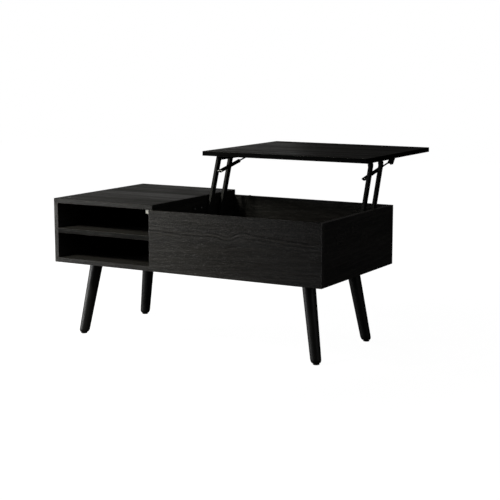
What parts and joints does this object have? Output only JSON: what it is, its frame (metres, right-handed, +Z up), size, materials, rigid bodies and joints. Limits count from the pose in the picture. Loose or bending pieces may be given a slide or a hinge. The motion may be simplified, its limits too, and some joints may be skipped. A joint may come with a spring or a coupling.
{
  "type": "lift top coffee table",
  "caption": "Coffee table on splayed round legs, with an open two-level cubby under a fixed top and a storage box under a top that rises and moves back on parallel arms with gas struts.",
  "frame": {"origin": "on the floor, under the middle of the raised table's box: its length centre in X, and the middle of carcass plus raised top in Y. The carcass itself is centred at y = -0.145", "axes": "+X along the table from the open cubby to the storage box, +Y from the table's front to its back, +Z up from the floor"},
  "size_m": [0.96, 0.79, 0.595],
  "materials": {
    "black_laminate": "matt black embossed woodgrain laminate",
    "black_leg": "satin black paint",
    "black_steel": "satin black powder coat",
    "bright_steel": "polished and plated",
    "zinc_steel": "zinc plated",
    "black_rubber": "matt",
    "black_plastic": "matt",
    "white_plastic": "matt"
  },
  "bodies": {
    "carcass": {"left_side_panel": "black_laminate", "right_side_panel": "black_laminate", "divider_panel": "black_laminate", "front_panel": "black_laminate", "back_panel": "black_laminate", "bottom_panel": "black_laminate", "cubby_shelf": "black_laminate", "fixed_top": "black_laminate", "corner_block_front": "white_plastic", "corner_block_back": "white_plastic", "rim_bumper_front_left": "black_rubber", "rim_bumper_front_right": "black_rubber", "rim_bumper_back_left": "black_rubber", "rim_bumper_back_right": "black_rubber", "leg_front_left": "black_leg", "leg_front_right": "black_leg", "leg_back_left": "black_leg", "leg_back_right": "black_leg", "leg_plate_front_left": "zinc_steel", "leg_plate_front_right": "zinc_steel", "leg_plate_back_left": "zinc_steel", "leg_plate_back_right": "zinc_steel", "leg_bolt_front_left": "zinc_steel", "leg_bolt_front_right": "zinc_steel", "leg_bolt_back_left": "zinc_steel", "leg_bolt_back_right": "zinc_steel", "foot_glide_front_left": "black_plastic", "foot_glide_front_right": "black_plastic", "foot_glide_back_left": "black_plastic", "foot_glide_back_right": "black_plastic", "base_bracket_left": "black_steel", "base_bracket_right": "black_steel", "base_pin_front_left": "bright_steel", "base_pin_front_right": "bright_steel", "base_pin_rear_left": "bright_steel", "base_pin_rear_right": "bright_steel"},
    "front_arm_left": {"arm_front_left": "black_steel", "arm_stud_left": "bright_steel"},
    "front_arm_right": {"arm_front_right": "black_steel", "arm_stud_right": "bright_steel"},
    "rear_arm_left": {"arm_rear_left": "black_steel"},
    "rear_arm_right": {"arm_rear_right": "black_steel"},
    "raised_top": {"lift_top": "black_laminate", "top_bracket_left": "black_steel", "top_bracket_right": "black_steel", "top_pin_front_left": "bright_steel", "top_pin_front_right": "bright_steel", "top_pin_rear_left": "bright_steel", "top_pin_rear_right": "bright_steel", "bracket_stud_left": "bright_steel", "bracket_stud_right": "bright_steel"},
    "tube_left": {"strut_tube_left": "black_steel"},
    "tube_right": {"strut_tube_right": "black_steel"},
    "rod_left": {"strut_rod_left": "bright_steel"},
    "rod_right": {"strut_rod_right": "bright_steel"}
  },
  "joints": [
    {"name": "lift", "type": "hinge", "parent": "carcass", "child": "front_arm_left", "pos_m": [-0.091, -0.09336, 0.35721], "axis": [1, 0, 0], "range_deg": [0, 93.13]},
    {"name": "front_arm_right_turn", "type": "hinge", "parent": "carcass", "child": "front_arm_right", "pos_m": [0.456, -0.09336, 0.35721], "axis": [1, 0, 0], "range_deg": [0, 93.13]},
    {"name": "rear_arm_left_turn", "type": "hinge", "parent": "carcass", "child": "rear_arm_left", "pos_m": [-0.091, -0.01736, 0.35721], "axis": [1, 0, 0], "range_deg": [0, 93.13]},
    {"name": "rear_arm_right_turn", "type": "hinge", "parent": "carcass", "child": "rear_arm_right", "pos_m": [0.456, -0.01736, 0.35721], "axis": [1, 0, 0], "range_deg": [0, 93.13]},
    {"name": "top_level", "type": "hinge", "parent": "front_arm_left", "child": "raised_top", "pos_m": [-0.091, -0.017, 0.567], "axis": [1, 0, 0], "range_deg": [-93.13, 0]},
    {"name": "strut_swing_left", "type": "hinge", "parent": "front_arm_left", "child": "tube_left", "pos_m": [-0.076, -0.03205, 0.52565], "axis": [1, 0, 0], "range_deg": [-100.57, 0]},
    {"name": "strut_swing_right", "type": "hinge", "parent": "front_arm_right", "child": "tube_right", "pos_m": [0.441, -0.03205, 0.52565], "axis": [1, 0, 0], "range_deg": [-100.57, 0]},
    {"name": "strut_stroke_left", "type": "slide", "parent": "tube_left", "child": "rod_left", "axis": [0, 0.9806, 0.1958], "range_m": [-0.0606, 0]},
    {"name": "strut_stroke_right", "type": "slide", "parent": "tube_right", "child": "rod_right", "axis": [0, 0.9806, 0.1958], "range_m": [-0.0606, 0]}
  ],
  "couplings": [
    {"joint": "front_arm_right_turn", "follows": "lift", "ratio": 1},
    {"joint": "rear_arm_left_turn", "follows": "lift", "ratio": 1},
    {"joint": "rear_arm_right_turn", "follows": "lift", "ratio": 1},
    {"joint": "top_level", "follows": "lift", "ratio": -1},
    {"joint": "strut_swing_left", "follows": "lift", "ratio": -1.0798},
    {"joint": "strut_swing_right", "follows": "lift", "ratio": -1.0798},
    {"joint": "strut_stroke_left", "follows": "lift", "m_per_rad": -0.037253},
    {"joint": "strut_stroke_right", "follows": "lift", "m_per_rad": -0.037253}
  ]
}
